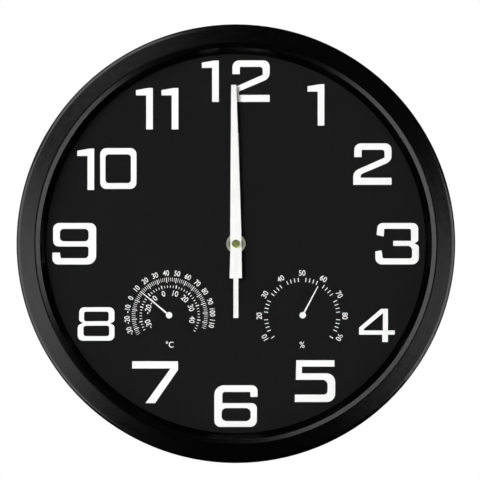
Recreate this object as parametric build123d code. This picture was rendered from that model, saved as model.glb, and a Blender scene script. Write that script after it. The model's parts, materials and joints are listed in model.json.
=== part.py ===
from build123d import *
from math import cos, radians, sin
import os

# Round wall clock with a dial thermometer and a dial hygrometer, in millimetres.
# The hands turn about the Y axis. X points right and Z up as one faces the dial, and Y points
# into the wall. A height here is a distance forward from the wall: height h lies at y = -h.

# Clearances
running_gap = 0.06
seat_play = 0.3
cut_overrun = 1.0
blind_hole_depth = 0.7

# Bezel
case_radius = 175.0
case_depth = 43.0
case_wall = 2.6
rear_taper = 0.8
rim_width = 14.4
rim_drop = 4.4
rim_edge_round = 4.0
groove_width = 0.6
groove_depth = 0.8
bead_width = 3.8
bead_drop = 1.9
bead_crest_round = 0.35
lip_thickness = 1.2
lip_overlap = 2.4
inner_tube_wall = 2.0
boss_count = 8
boss_radius = 3.6
boss_first_angle = 22.5
pilot_radius = 1.25
pilot_depth = 9.0

# Lens, spacer ring and dial
lens_thickness = 2.0
dial_ring_depth = 11.4
dial_ring_slope = 4.8
dial_ring_wall = 1.6
dial_thickness = 0.5
spindle_hole_radius = 1.2

# Back plate
plate_wall = 2.5
plate_rim_depth = 5.0
plate_rim_wall = 2.0
rib_depth = 6.0
rib_wall = 1.6
rib_count = 12
rib_start_radius = 46.0
rib_ring_radius = 112.0
frame_wall = 1.8
frame_depth = 4.0
vent_count = 5
vent_width = 3.0
vent_length = 24.0
vent_pitch = 7.0
vent_height = -112.0

# Hanging pocket
pocket_width = 34.0
pocket_length = 40.0
pocket_wall = 2.2
pocket_centre_height = 118.0
pocket_wall_gap = 3.0
keyhole_radius = 6.0
keyhole_slot_radius = 2.5
keyhole_slot_rise = 12.0
keyhole_drop = 8.0

# Case screws
screw_radius = 1.2
screw_length = 9.5
screw_head_radius = 3.0
screw_head_height = 1.8

# Movement housing
movement_width = 56.0
movement_depth = 16.0
movement_wall = 1.2
movement_corner = 3.0
rubber_thickness = 0.8
rubber_radius = 15.0
post_size = 3.0
post_height = 5.9
train_plate_wall = 0.8

# Threaded bush, washer and nut
bush_radius = 4.0
bush_flange_radius = 6.0
bush_flange_height = 0.6
bush_thread_show = 0.4
washer_radius = 7.7
washer_thickness = 0.5
nut_across_flats = 11.0
nut_height = 2.2

# Coaxial arbors and tubes
arbor_radius = 0.5
cannon_tube_radius = 1.6
hour_tube_radius = 2.5
cannon_foot_radius = 1.2
stud_radius = 0.8
setting_shaft_radius = 1.5

# Gear teeth
step_teeth = 48
second_teeth = 40
third_teeth = 60
centre_teeth = 64
minute_teeth = 36
hour_teeth = 40
small_pinion_teeth = 8
cannon_teeth = 12
minute_pinion_teeth = 10
rotor_module = 0.30
step_module = 0.36
third_module = 0.33
motion_module = 0.50
addendum_share = 0.70
dedendum_share = 0.95
root_half_share = 0.30
tip_half_share = 0.10
wheel_thickness = 0.6
heavy_wheel_thickness = 1.0
pinion_length = 1.2
level_gap = 0.2
train_gap = 0.6

# Directions from the hand arbor, or from the wheel named, in degrees from +X towards +Z
third_direction = 135.0
step_direction = 60.0
rotor_direction = 100.0
minute_direction = 20.0
setting_direction = 45.0

# Stepping motor and electronics
magnet_radius = 3.0
magnet_height = 1.8
stator_gap = 0.5
stator_thickness = 1.0
stator_rim = 1.0
stator_left = 20.0
stator_right = 14.0
stator_leg = 4.5
stator_leg_rise = 6.4
core_width = 3.0
bobbin_radius = 2.7
bobbin_flange = 0.6
bobbin_core_gap = 0.2
winding_gap = 0.15
board_width = 17.0
board_length = 17.0
board_thickness = 0.8
board_inset = 0.6
board_post = 0.9
crystal_radius = 1.0
crystal_length = 6.0

# Battery
cell_radius = 7.1
cell_length = 49.0
nub_radius = 2.75
nub_length = 1.2
contact_thickness = 0.4
contact_width = 9.0
contact_play = 0.05
bay_play = 0.2

# Setting knob
knob_radius = 6.5
knob_height = 2.9
knob_gap = 0.3
knob_flutes = 20
knob_flute_radius = 0.6

# Hands
hand_thickness = 0.5
hand_gap = 0.8
hand_level_gap = 1.5
tube_show = 0.2
collar_depth = 0.5
collar_wall = 1.2
hour_reach = 88.3
hour_tip_width = 4.4
hour_tail_width = 10.0
hand_tail_reach = 27.6
minute_reach = 126.7
minute_tip_width = 4.1
minute_hub_width = 8.8
minute_taper_start = 10.0
minute_lean = 0.8
second_reach = 118.0
second_tip_width = 1.0
second_hub_width = 2.2
second_tail_width = 3.95
second_tail_reach = 59.2
second_hub_radius = 4.2
cap_radius = 3.2
cap_height = 1.4
cap_round = 0.8

# Dial instruments
instrument_offset = 53.35
instrument_drop = 57.1
cup_radius = 12.0
cup_wall = 0.8
cup_depth = 10.0
cup_flange_width = 2.5
cup_bridge_width = 3.0
cup_vent_radius = 1.5
cup_vent_count = 6
coil_inner_radius = 2.4
coil_pitch = 1.8
coil_half_turns = 8
coil_strip = 0.4
coil_width = 4.0
coil_post_width = 2.0
collet_radius = 1.6
pointer_reach = 26.1
pointer_hub_radius = 2.55
pointer_hub_width = 1.4
pointer_tip_width = 0.7
pointer_thickness = 0.3
pointer_height_gap = 0.8
thermometer_rest_angle = -50.1
hygrometer_rest_angle = 27.8

# Sizes that follow from the ones above
rim_inner_radius = case_radius - rim_width
bead_outer_radius = rim_inner_radius - groove_width
bead_inner_radius = bead_outer_radius - bead_width
rear_radius = case_radius - rear_taper
skirt_inner_radius = rear_radius - case_wall
rim_edge_height = case_depth - rim_drop
lens_front = case_depth - bead_drop - lip_thickness
lens_rear = lens_front - lens_thickness
dial_front = lens_rear - dial_ring_depth
plate_front = dial_front - dial_thickness
plate_rear = plate_front - plate_wall
inner_tube_radius = bead_inner_radius + lip_overlap + seat_play
lens_radius = inner_tube_radius - seat_play
dial_ring_inner_radius = bead_inner_radius - dial_ring_slope
inner_tube_outer_radius = inner_tube_radius + inner_tube_wall
boss_circle_radius = (inner_tube_outer_radius + skirt_inner_radius) / 2
back_plate_radius = skirt_inner_radius - seat_play
pocket_rear = pocket_wall_gap
movement_front = plate_rear - rubber_thickness
movement_rear = movement_front - movement_depth
train_front = movement_front - movement_wall
train_rear = movement_rear + movement_wall
half_width = movement_width / 2
chamber_half = half_width - movement_wall
bay_low = -chamber_half
bay_high = bay_low + 2 * (cell_radius + bay_play)
chamber_low = bay_high + movement_wall
cell_centre_drop = bay_low + bay_play + cell_radius
cell_height = movement_rear + bay_play + cell_radius
cannon_bore = arbor_radius + running_gap
hour_bore = cannon_tube_radius + running_gap
bush_bore = hour_tube_radius + running_gap

# Gear train: distances between arbors
rotor_distance = rotor_module * (small_pinion_teeth + step_teeth) / 2
step_distance = step_module * (small_pinion_teeth + second_teeth) / 2
third_distance = third_module * (small_pinion_teeth + third_teeth) / 2
centre_module = 2 * third_distance / (small_pinion_teeth + centre_teeth)
minute_distance = motion_module * (cannon_teeth + minute_teeth) / 2
hour_module = 2 * minute_distance / (minute_pinion_teeth + hour_teeth)

# Gear train: heights, each the rear face of the wheel or pinion
hour_wheel_low = train_front - seat_play - heavy_wheel_thickness
cannon_low = hour_wheel_low - level_gap - pinion_length
minute_wheel_low = cannon_low + (pinion_length - heavy_wheel_thickness) / 2
centre_wheel_low = cannon_low - train_gap - wheel_thickness
third_pinion_low = centre_wheel_low + (wheel_thickness - pinion_length) / 2
third_wheel_low = third_pinion_low - train_gap - wheel_thickness
second_pinion_low = third_wheel_low + (wheel_thickness - pinion_length) / 2
train_plate_low = train_rear + post_height
train_plate_high = train_plate_low + train_plate_wall
second_wheel_low = train_plate_low - train_gap - wheel_thickness
step_pinion_low = second_wheel_low + (wheel_thickness - pinion_length) / 2
step_wheel_low = second_wheel_low - level_gap - train_gap - wheel_thickness
rotor_pinion_low = step_wheel_low + (wheel_thickness - pinion_length) / 2
magnet_low = rotor_pinion_low - level_gap - magnet_height
stator_low = magnet_low + (magnet_height - stator_thickness) / 2
stator_high = stator_low + stator_thickness

# Hands: heights
washer_front = dial_front + washer_thickness
nut_front = washer_front + nut_height
bush_front = nut_front + bush_thread_show
hour_hand_low = bush_front + hand_gap
hour_tube_front = hour_hand_low + hand_thickness + tube_show
minute_hand_low = hour_hand_low + hand_thickness + hand_level_gap
minute_tube_front = minute_hand_low + hand_thickness + tube_show
second_hand_low = minute_hand_low + hand_thickness + hand_level_gap - tube_show
second_hand_high = second_hand_low + hand_thickness
pointer_low = dial_front + pointer_height_gap


def polar(radius, angle):
    """A point at this radius, at an angle in degrees from +X towards +Z."""
    return radius * cos(radians(angle)), radius * sin(radians(angle))


# Places of the arbors, as x and z
third_place = polar(third_distance, third_direction)
step_place = polar(step_distance, step_direction)
rotor_offset = polar(rotor_distance, rotor_direction)
rotor_place = (step_place[0] + rotor_offset[0], step_place[1] + rotor_offset[1])
minute_place = polar(minute_distance, minute_direction)
setting_offset = polar(minute_distance, setting_direction)
setting_place = (minute_place[0] + setting_offset[0], minute_place[1] + setting_offset[1])
thermometer_place = (-instrument_offset, -instrument_drop)
hygrometer_place = (instrument_offset, -instrument_drop)


def at(place):
    """The shift that takes something from the hand arbor to an x and z place."""
    return Pos(place[0], 0, place[1])


def plate(outline, low, high):
    """A flat piece with this outline, from one height above the wall to another."""
    return extrude(Plane.XZ.offset(low) * outline, high - low)


def disc(radius, low, high, place=(0, 0)):
    """A round piece whose axis points at the viewer."""
    return at(place) * plate(Circle(radius), low, high)


def hole(radius, low, high, place=(0, 0)):
    """What a round hole through these two heights takes away."""
    return disc(radius, low - cut_overrun, high + cut_overrun, place)


def tube(outer, inner, low, high, place=(0, 0)):
    """A round piece with a round hole through it."""
    return disc(outer, low, high, place) - hole(inner, low, high, place)


def block(x_low, x_high, low, high, z_low, z_high):
    """A box between two x, two heights and two z."""
    outline = Pos((x_low + x_high) / 2, (z_low + z_high) / 2) * Rectangle(x_high - x_low, z_high - z_low)
    return plate(outline, low, high)


def rounded_corner(outline, corner, radius):
    """An outline with the corner nearest to this point made round."""
    vertex = outline.vertices().sort_by_distance((corner[0], corner[1], 0))[0]
    return fillet(vertex, radius)


def turned(outline):
    """A radius and height outline turned about the clock's axis."""
    half_plane = Plane(origin=(0, 0, 0), x_dir=(1, 0, 0), z_dir=(0, 0, -1))
    return revolve(half_plane * outline, Axis.Y)


def polygon(points):
    return make_face(Polyline(*points, close=True))


def around(piece, count, first_angle=0):
    """Copies of a piece, evenly spaced about the clock's axis."""
    return [Rot(0, first_angle + number * 360 / count, 0) * piece for number in range(count)]


def gear(teeth, module, low, high, phase=0):
    """A spur wheel about the clock's axis, with a tooth at the angle phase."""
    pitch_radius = module * teeth / 2
    tip = pitch_radius + addendum_share * module
    root = pitch_radius - dedendum_share * module
    corners = (
        (-root_half_share, root),
        (-tip_half_share, tip),
        (tip_half_share, tip),
        (root_half_share, root),
    )
    points = []
    for number in range(teeth):
        for angle_share, reach in corners:
            points.append(polar(reach, phase + (number + angle_share) * 360 / teeth))
    return plate(polygon(points), low, high)


def meshed_phase(own_teeth, partner_teeth, partner_phase, direction):
    """The phase that sets a wheel's teeth between its partner's, seen along the direction to it."""
    partner_share = (partner_phase - direction) / (360 / partner_teeth)
    return direction + 180 - (partner_share + 1 / 2) * 360 / own_teeth


def roof_height(radius):
    """Height of the rim's underside at a radius."""
    return case_depth - case_wall - rim_drop * (radius - rim_inner_radius) / rim_width


def make_bezel():
    """The moulded rim and skirt, with the lip that holds the lens and the bosses for the screws."""
    outline = polygon([
        (rear_radius, 0),
        (case_radius, rim_edge_height),
        (rim_inner_radius, case_depth),
        (rim_inner_radius, case_depth - groove_depth),
        (bead_outer_radius, case_depth - groove_depth),
        (bead_outer_radius, case_depth),
        (bead_inner_radius, case_depth - bead_drop),
        (bead_inner_radius, lens_front),
        (inner_tube_radius, lens_front),
        (inner_tube_radius, plate_front),
        (inner_tube_outer_radius, plate_front),
        (inner_tube_outer_radius, roof_height(inner_tube_outer_radius)),
        (skirt_inner_radius, roof_height(skirt_inner_radius)),
        (skirt_inner_radius, 0),
    ])
    outline = rounded_corner(outline, (case_radius, rim_edge_height), rim_edge_round)
    outline = rounded_corner(outline, (bead_outer_radius, case_depth), bead_crest_round)
    outline = rounded_corner(outline, (bead_inner_radius, case_depth - bead_drop), bead_crest_round)
    bezel = turned(outline)
    boss_top = roof_height(boss_circle_radius) + case_wall / 2
    boss = disc(boss_radius, plate_front, boss_top, (boss_circle_radius, 0))
    pilot_top = plate_front + pilot_depth
    pilot = disc(pilot_radius, plate_front - cut_overrun, pilot_top, (boss_circle_radius, 0))
    bezel += around(boss, boss_count, boss_first_angle)
    return bezel - around(pilot, boss_count, boss_first_angle)


def make_lens():
    return disc(lens_radius, lens_rear, lens_front)


def make_dial_ring():
    """The tapered ring that holds the lens forward and the dial back."""
    flange_high = dial_front + dial_ring_wall
    slope_share = dial_ring_wall / dial_ring_depth
    slope_shift = dial_ring_slope * slope_share
    return turned(polygon([
        (dial_ring_inner_radius, dial_front),
        (lens_radius, dial_front),
        (lens_radius, flange_high),
        (dial_ring_inner_radius + slope_shift + dial_ring_wall, flange_high),
        (bead_inner_radius - slope_shift + dial_ring_wall, lens_rear - dial_ring_wall),
        (lens_radius, lens_rear - dial_ring_wall),
        (lens_radius, lens_rear),
        (bead_inner_radius, lens_rear),
    ]))


def make_dial_sheet():
    sheet = tube(lens_radius, bush_radius + running_gap, plate_front, dial_front)
    for place in (thermometer_place, hygrometer_place):
        sheet -= hole(spindle_hole_radius, plate_front, dial_front, place)
    return sheet


def keyhole_outline():
    """Round entry below, and a narrow slot rising from it."""
    entry_height = pocket_centre_height - keyhole_drop
    entry = Pos(0, entry_height) * Circle(keyhole_radius)
    slot_end = Pos(0, entry_height + keyhole_slot_rise) * Circle(keyhole_slot_radius)
    slot_middle = entry_height + keyhole_slot_rise / 2
    slot = Pos(0, slot_middle) * Rectangle(2 * keyhole_slot_radius, keyhole_slot_rise)
    return entry + slot + slot_end


def make_back_plate():
    """The moulded back: a ribbed disc, with the hanging pocket and a frame round the movement."""
    outer_wall = pocket_width / 2 + pocket_wall
    pocket_low = pocket_centre_height - pocket_length / 2
    pocket_high = pocket_centre_height + pocket_length / 2
    rib_low = plate_rear - rib_depth
    ribs = around(block(rib_start_radius, back_plate_radius - plate_rim_wall, rib_low, plate_rear,
                        -rib_wall / 2, rib_wall / 2), rib_count, 180 / rib_count)
    ring_inner_radius = rib_ring_radius - rib_wall / 2
    ribs = Part() + ribs + tube(ring_inner_radius + rib_wall, ring_inner_radius, rib_low, plate_rear)
    ribs -= block(-outer_wall, outer_wall, rib_low - cut_overrun, plate_rear + cut_overrun,
                  pocket_low - pocket_wall, pocket_high + pocket_wall)
    cup_room = cup_radius + cup_flange_width + seat_play
    for place in (thermometer_place, hygrometer_place):
        ribs -= hole(cup_room, rib_low, plate_rear, place)
    vent_reach = vent_pitch * vent_count / 2
    ribs -= block(-vent_reach, vent_reach, rib_low - cut_overrun, plate_rear + cut_overrun,
                  vent_height - vent_length / 2 - rib_wall, vent_height + vent_length / 2 + rib_wall)
    body = disc(back_plate_radius, plate_rear, plate_front) + ribs
    rim_inner = back_plate_radius - plate_rim_wall
    body += tube(back_plate_radius, rim_inner, plate_rear - plate_rim_depth, plate_rear)
    frame_half = half_width + seat_play
    body += block(-frame_half - frame_wall, frame_half + frame_wall, plate_rear - frame_depth, plate_rear,
                  -frame_half - frame_wall, frame_half + frame_wall)
    body -= block(-frame_half, frame_half, plate_rear - frame_depth - cut_overrun, plate_rear,
                  -frame_half, frame_half)
    body += block(-outer_wall, outer_wall, pocket_rear, plate_rear,
                  pocket_low - pocket_wall, pocket_high + pocket_wall)
    body -= block(-pocket_width / 2, pocket_width / 2, pocket_rear + pocket_wall, plate_front + cut_overrun,
                  pocket_low, pocket_high)
    body -= plate(keyhole_outline(), pocket_rear - cut_overrun, pocket_rear + pocket_wall + cut_overrun)
    body -= hole(bush_radius + running_gap, plate_rear, plate_front)
    for place in (thermometer_place, hygrometer_place):
        body -= hole(cup_radius + running_gap, plate_rear, plate_front, place)
    screw_hole = hole(screw_radius + seat_play, plate_rear, plate_front,
                      (boss_circle_radius, 0))
    body -= around(screw_hole, boss_count, boss_first_angle)
    vent_outline = Pos(0, vent_height) * SlotOverall(vent_length, vent_width, rotation=90)
    for number in range(vent_count):
        shift = (number - (vent_count - 1) / 2) * vent_pitch
        body -= Pos(shift, 0, 0) * plate(vent_outline, plate_rear - cut_overrun, plate_front + cut_overrun)
    return body


def make_case_screws():
    """Pan-head screws, driven from behind through the back plate into the bezel's bosses."""
    shank = disc(screw_radius, plate_rear, plate_rear + screw_length, (boss_circle_radius, 0))
    head = disc(screw_head_radius, plate_rear - screw_head_height, plate_rear, (boss_circle_radius, 0))
    head = fillet(head.edges().filter_by(GeomType.CIRCLE).sort_by(Axis.Y)[-1], screw_head_height / 2)
    return Compound(children=around(shank + head, boss_count, boss_first_angle))


def square(half, low, high, corner):
    return plate(RectangleRounded(2 * half, 2 * half, corner), low, high)


def make_movement_front_case():
    """The movement's front cover, with the stud and the bearings of the wheels behind it."""
    cover = square(half_width, train_front, movement_front, movement_corner)
    cover += disc(stud_radius, minute_wheel_low - level_gap, train_front, minute_place)
    cover -= hole(bush_radius, train_front, movement_front)
    bearing_top = train_front + blind_hole_depth
    cover -= disc(arbor_radius + running_gap, train_front - cut_overrun, bearing_top, third_place)
    cover -= disc(stud_radius + running_gap, train_front - cut_overrun, bearing_top, setting_place)
    return cover


def make_movement_rear_case():
    """The deep half of the movement's housing, with the open battery bay below the gear chamber."""
    case = square(half_width, movement_rear, train_front, movement_corner)
    open_front = train_front + cut_overrun
    case -= block(-chamber_half, chamber_half, train_rear, open_front, chamber_low, chamber_half)
    case -= block(-chamber_half, chamber_half, movement_rear - cut_overrun, open_front, bay_low, bay_high)
    inner = chamber_half - post_size
    for x_low in (-chamber_half, inner):
        for z_low in (chamber_low, inner):
            case += block(x_low, x_low + post_size, train_rear, train_plate_low, z_low, z_low + post_size)
    board_left = board_inset - chamber_half
    board_low = chamber_low + post_size + board_inset
    board_right = board_left + board_width
    for x_low in (board_left, board_right - board_post):
        case += block(x_low, x_low + board_post, train_rear, train_rear + board_post, board_low,
                      board_low + board_length)
    leg_places = ((-stator_left, stator_leg - stator_left), (stator_right - stator_leg, stator_right))
    for x_low, x_high in leg_places:
        case += block(x_low, x_high, train_rear, stator_low, rotor_place[1], rotor_place[1] + post_size)
    bearing_low = train_rear - blind_hole_depth
    for place in ((0, 0), step_place, rotor_place):
        case -= disc(arbor_radius + running_gap, bearing_low, train_rear + cut_overrun, place)
    return case - disc(setting_shaft_radius + running_gap, movement_rear - cut_overrun,
                       train_rear + cut_overrun, setting_place)


def make_train_plate():
    """The plate between the two layers of wheels, with a bearing hole for each arbor."""
    play = seat_play
    bridge = block(-chamber_half + play, chamber_half - play, train_plate_low, train_plate_high,
                   chamber_low + play, chamber_half - play)
    low = train_plate_low - cut_overrun
    high = train_plate_high + cut_overrun
    for place in ((0, 0), third_place, step_place, rotor_place):
        bridge -= disc(arbor_radius + running_gap, low, high, place)
    return bridge - disc(setting_shaft_radius + running_gap, low, high, setting_place)


def make_threaded_bush():
    bush = disc(bush_radius, train_front, bush_front)
    bush += disc(bush_flange_radius, movement_front, movement_front + bush_flange_height)
    return bush - hole(bush_bore, train_front, bush_front)


def make_rubber_washer():
    return tube(rubber_radius, bush_flange_radius + seat_play, movement_front, plate_rear)


def make_dial_washer():
    return tube(washer_radius, bush_radius, dial_front, washer_front)


def make_dial_nut():
    nut = plate(RegularPolygon(nut_across_flats / 2, 6, major_radius=False), washer_front, nut_front)
    return nut - hole(bush_radius, washer_front, nut_front)


def make_rotor():
    """The magnet of the stepping motor with its pinion."""
    phase = meshed_phase(small_pinion_teeth, step_teeth, 0, rotor_direction)
    pinion_high = rotor_pinion_low + pinion_length
    rotor = gear(small_pinion_teeth, rotor_module, rotor_pinion_low, pinion_high, phase)
    rotor += disc(magnet_radius, magnet_low, magnet_low + magnet_height)
    rotor += disc(arbor_radius, train_rear - blind_hole_depth + running_gap, train_plate_high)
    return at(rotor_place) * rotor


def make_step_wheel():
    phase = meshed_phase(small_pinion_teeth, second_teeth, 0, step_direction)
    wheel = gear(step_teeth, rotor_module, step_wheel_low, step_wheel_low + wheel_thickness)
    wheel += gear(small_pinion_teeth, step_module, step_pinion_low, step_pinion_low + pinion_length, phase)
    wheel += disc(arbor_radius, train_rear - blind_hole_depth + running_gap, train_plate_high)
    return at(step_place) * wheel


def make_second_wheel():
    """The wheel of the second hand, whose long arbor carries the hand."""
    wheel = gear(second_teeth, step_module, second_wheel_low, second_wheel_low + wheel_thickness)
    wheel += gear(small_pinion_teeth, third_module, second_pinion_low, second_pinion_low + pinion_length)
    return wheel + disc(arbor_radius, train_rear - blind_hole_depth + running_gap, second_hand_high)


def make_third_wheel():
    wheel_phase = meshed_phase(third_teeth, small_pinion_teeth, 0, third_direction)
    pinion_phase = meshed_phase(small_pinion_teeth, centre_teeth, 0, third_direction)
    wheel = gear(third_teeth, third_module, third_wheel_low, third_wheel_low + wheel_thickness, wheel_phase)
    wheel += gear(small_pinion_teeth, centre_module, third_pinion_low, third_pinion_low + pinion_length,
                  pinion_phase)
    wheel += disc(arbor_radius, train_plate_low, train_front + blind_hole_depth - running_gap)
    return at(third_place) * wheel


def make_centre_wheel():
    """The wheel that drives the cannon pinion by friction."""
    wheel = gear(centre_teeth, centre_module, centre_wheel_low, centre_wheel_low + wheel_thickness)
    return wheel - disc(cannon_foot_radius + running_gap, centre_wheel_low - cut_overrun, cannon_low)


def make_cannon_pinion():
    """The minute hand's tube, with its pinion and the foot that the centre wheel grips."""
    pinion = gear(cannon_teeth, motion_module, cannon_low, cannon_low + pinion_length)
    pinion += disc(cannon_tube_radius, cannon_low, minute_tube_front)
    pinion += disc(cannon_foot_radius, centre_wheel_low, cannon_low)
    return pinion - hole(cannon_bore, centre_wheel_low, minute_tube_front)


def minute_wheel_phase():
    return meshed_phase(minute_teeth, cannon_teeth, 0, minute_direction)


def make_minute_wheel():
    wheel = gear(minute_teeth, motion_module, minute_wheel_low, minute_wheel_low + heavy_wheel_thickness,
                 minute_wheel_phase())
    pinion_high = train_front - seat_play
    wheel += gear(minute_pinion_teeth, hour_module, minute_wheel_low + heavy_wheel_thickness, pinion_high)
    wheel -= disc(stud_radius + running_gap, minute_wheel_low - cut_overrun, train_front)
    return at(minute_place) * wheel


def make_hour_wheel():
    """The hour hand's tube with its wheel."""
    phase = meshed_phase(hour_teeth, minute_pinion_teeth, 0, minute_direction + 180)
    wheel = gear(hour_teeth, hour_module, hour_wheel_low, hour_wheel_low + heavy_wheel_thickness, phase)
    wheel += disc(hour_tube_radius, hour_wheel_low, hour_tube_front)
    return wheel - hole(hour_bore, hour_wheel_low, hour_tube_front)


def make_setting_knob():
    """The knob on the back that turns the minute wheel by hand."""
    phase = meshed_phase(cannon_teeth, minute_teeth, minute_wheel_phase(), setting_direction)
    knob_high = movement_rear - knob_gap
    knob = disc(knob_radius, knob_high - knob_height, knob_high)
    flute = hole(knob_flute_radius, knob_high - knob_height, knob_high,
                 (knob_radius, 0))
    knob -= around(flute, knob_flutes)
    knob += disc(setting_shaft_radius, knob_high, cannon_low)
    knob += gear(cannon_teeth, motion_module, cannon_low, cannon_low + pinion_length, phase)
    knob += disc(stud_radius, cannon_low + pinion_length, train_front + blind_hole_depth - running_gap)
    return at(setting_place) * knob


def coil_axis():
    """The z and the height of the coil's axis."""
    leg_top = rotor_place[1] + magnet_radius + stator_gap + stator_rim + stator_leg_rise
    return leg_top - stator_leg_rise / 2, stator_high + stator_thickness / 2


def make_stator():
    """The soft-iron yoke round the rotor, with a leg up each side of the coil."""
    reach = magnet_radius + stator_gap + stator_rim
    low = rotor_place[1] - reach
    high = rotor_place[1] + reach
    yoke = block(-stator_left, stator_right, stator_low, stator_high, low, high)
    leg_high = high + stator_leg_rise
    yoke += block(-stator_left, stator_leg - stator_left, stator_low, stator_high, low, leg_high)
    yoke += block(stator_right - stator_leg, stator_right, stator_low, stator_high, low, leg_high)
    return yoke - hole(magnet_radius + stator_gap, stator_low, stator_high, rotor_place)


def make_coil_core():
    centre_z = coil_axis()[0]
    return block(-stator_left, stator_right, stator_high, stator_high + stator_thickness,
                 centre_z - core_width / 2, centre_z + core_width / 2)


def along_coil(radius, x_low, x_high):
    """A round piece along the coil's axis."""
    centre_z, centre_height = coil_axis()
    outline = Plane.YZ.offset(x_low) * Pos(-centre_height, centre_z) * Circle(radius)
    return extrude(outline, x_high - x_low)


def make_coil_bobbin():
    left = stator_leg - stator_left + seat_play
    right = stator_right - stator_leg - seat_play
    bobbin = along_coil(bobbin_radius, left, left + bobbin_flange)
    bobbin += along_coil(bobbin_radius, right - bobbin_flange, right)
    sleeve_radius = core_width / 2 + 2 * bobbin_core_gap
    bobbin += along_coil(sleeve_radius, left, right)
    centre_z = coil_axis()[0]
    window_half = core_width / 2 + bobbin_core_gap
    return bobbin - block(left - cut_overrun, right + cut_overrun, stator_high - bobbin_core_gap,
                          stator_high + stator_thickness + bobbin_core_gap,
                          centre_z - window_half, centre_z + window_half)


def make_coil_winding():
    left = stator_leg - stator_left + seat_play + bobbin_flange
    right = stator_right - stator_leg - seat_play - bobbin_flange
    sleeve_radius = core_width / 2 + 2 * bobbin_core_gap
    return along_coil(bobbin_radius - winding_gap, left, right) - along_coil(sleeve_radius, left, right)


def make_circuit_board():
    left = board_inset - chamber_half
    low = chamber_low + post_size + board_inset
    height = train_rear + board_post
    return block(left, left + board_width, height, height + board_thickness, low, low + board_length)


def make_quartz_crystal():
    board_top = train_rear + board_post + board_thickness
    x_low = 2 * board_inset - chamber_half
    outline = Plane.YZ.offset(x_low) * Pos(-board_top - crystal_radius, 0) * Circle(crystal_radius)
    return extrude(outline, crystal_length)


def make_battery():
    """The round cell, along X, with its raised positive end at the right."""
    outline = Pos(-cell_height, cell_centre_drop)
    left = -cell_length / 2
    cell = extrude(Plane.YZ.offset(left) * outline * Circle(cell_radius), cell_length)
    return cell + extrude(Plane.YZ.offset(left + cell_length) * outline * Circle(nub_radius), nub_length)


def contact(side, reach):
    """A sprung contact strip: flat on the bay's end wall, and bowed to meet the cell."""
    wall = side * chamber_half
    inner = side * (chamber_half - contact_thickness)
    crest = side * (reach + contact_play)
    quarter = contact_width / 4
    middle = cell_centre_drop
    outline = polygon([
        (wall, middle - 2 * quarter),
        (inner, middle - 2 * quarter),
        (crest, middle - quarter / 2),
        (crest, middle + quarter / 2),
        (inner, middle + 2 * quarter),
        (wall, middle + 2 * quarter),
    ])
    return plate(outline, cell_height - contact_width / 2, cell_height + contact_width / 2)


def make_positive_contact():
    return contact(1, cell_length / 2 + nub_length)


def make_negative_contact():
    return contact(-1, cell_length / 2)


def blade(tip_reach, tip_width, taper_start, hub_width, tail_reach):
    """The outline of a hand that points up."""
    return polygon([
        (-tip_width / 2, tip_reach),
        (tip_width / 2, tip_reach),
        (hub_width / 2, taper_start),
        (hub_width / 2, -tail_reach),
        (-hub_width / 2, -tail_reach),
        (-hub_width / 2, taper_start),
    ])


def make_hour_hand():
    outline = polygon([
        (-hour_tip_width / 2, hour_reach),
        (hour_tip_width / 2, hour_reach),
        (hour_tail_width / 2, -hand_tail_reach),
        (-hour_tail_width / 2, -hand_tail_reach),
    ])
    high = hour_hand_low + hand_thickness
    hand = plate(outline, hour_hand_low, high)
    hand += disc(hour_tube_radius + collar_wall, hour_hand_low - collar_depth, hour_hand_low)
    return hand - hole(hour_tube_radius, hour_hand_low - collar_depth, high)


def make_minute_hand():
    outline = blade(minute_reach, minute_tip_width, minute_taper_start, minute_hub_width, hand_tail_reach)
    high = minute_hand_low + hand_thickness
    hand = plate(Rot(0, 0, minute_lean) * outline, minute_hand_low, high)
    hand += disc(cannon_tube_radius + collar_wall, minute_hand_low - collar_depth, minute_hand_low)
    return hand - hole(cannon_tube_radius, minute_hand_low - collar_depth, high)


def make_second_hand():
    tail = Pos(0, -second_tail_reach / 2) * Rectangle(second_tail_width, second_tail_reach)
    front = polygon([
        (-second_tip_width / 2, second_reach),
        (second_tip_width / 2, second_reach),
        (second_hub_width / 2, 0),
        (-second_hub_width / 2, 0),
    ])
    outline = front + tail + Circle(second_hub_radius)
    hand = plate(outline, second_hand_low, second_hand_high)
    hand += disc(arbor_radius + collar_wall, second_hand_low - collar_depth, second_hand_low)
    return hand - hole(arbor_radius, second_hand_low - collar_depth, second_hand_high)


def make_hand_cap():
    """The brass cap on the second hand's hub."""
    cap = disc(cap_radius, second_hand_high, second_hand_high + cap_height)
    return fillet(cap.edges().filter_by(GeomType.CIRCLE).sort_by(Axis.Y)[0], cap_round)


def make_cup(place):
    """The can of a dial instrument: vented floor, bearing for the spindle, and a bridge in front."""
    low = plate_front - cup_depth
    can = disc(cup_radius, low, plate_front)
    can += disc(cup_radius + cup_flange_width, plate_rear - cup_wall, plate_rear)
    can -= disc(cup_radius - cup_wall, low + cup_wall, plate_front + cut_overrun)
    can += block(-cup_radius + cup_wall / 2, cup_radius - cup_wall / 2, plate_front - cup_wall, plate_front,
                 -cup_bridge_width / 2, cup_bridge_width / 2)
    strip_reach = coil_inner_radius + (coil_half_turns - 1) * coil_pitch / 2 + coil_pitch / 4
    middle = plate_front - cup_depth / 2
    can += block(strip_reach - coil_strip, cup_radius - cup_wall / 2, middle - coil_width / 2,
                 middle + coil_width / 2, 0, coil_post_width)
    vent = hole(cup_vent_radius, low, low + cup_wall,
                ((cup_radius + collet_radius) / 2, 0))
    can -= around(vent, cup_vent_count)
    can -= hole(arbor_radius + running_gap, low, plate_front)
    return at(place) * can


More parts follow.
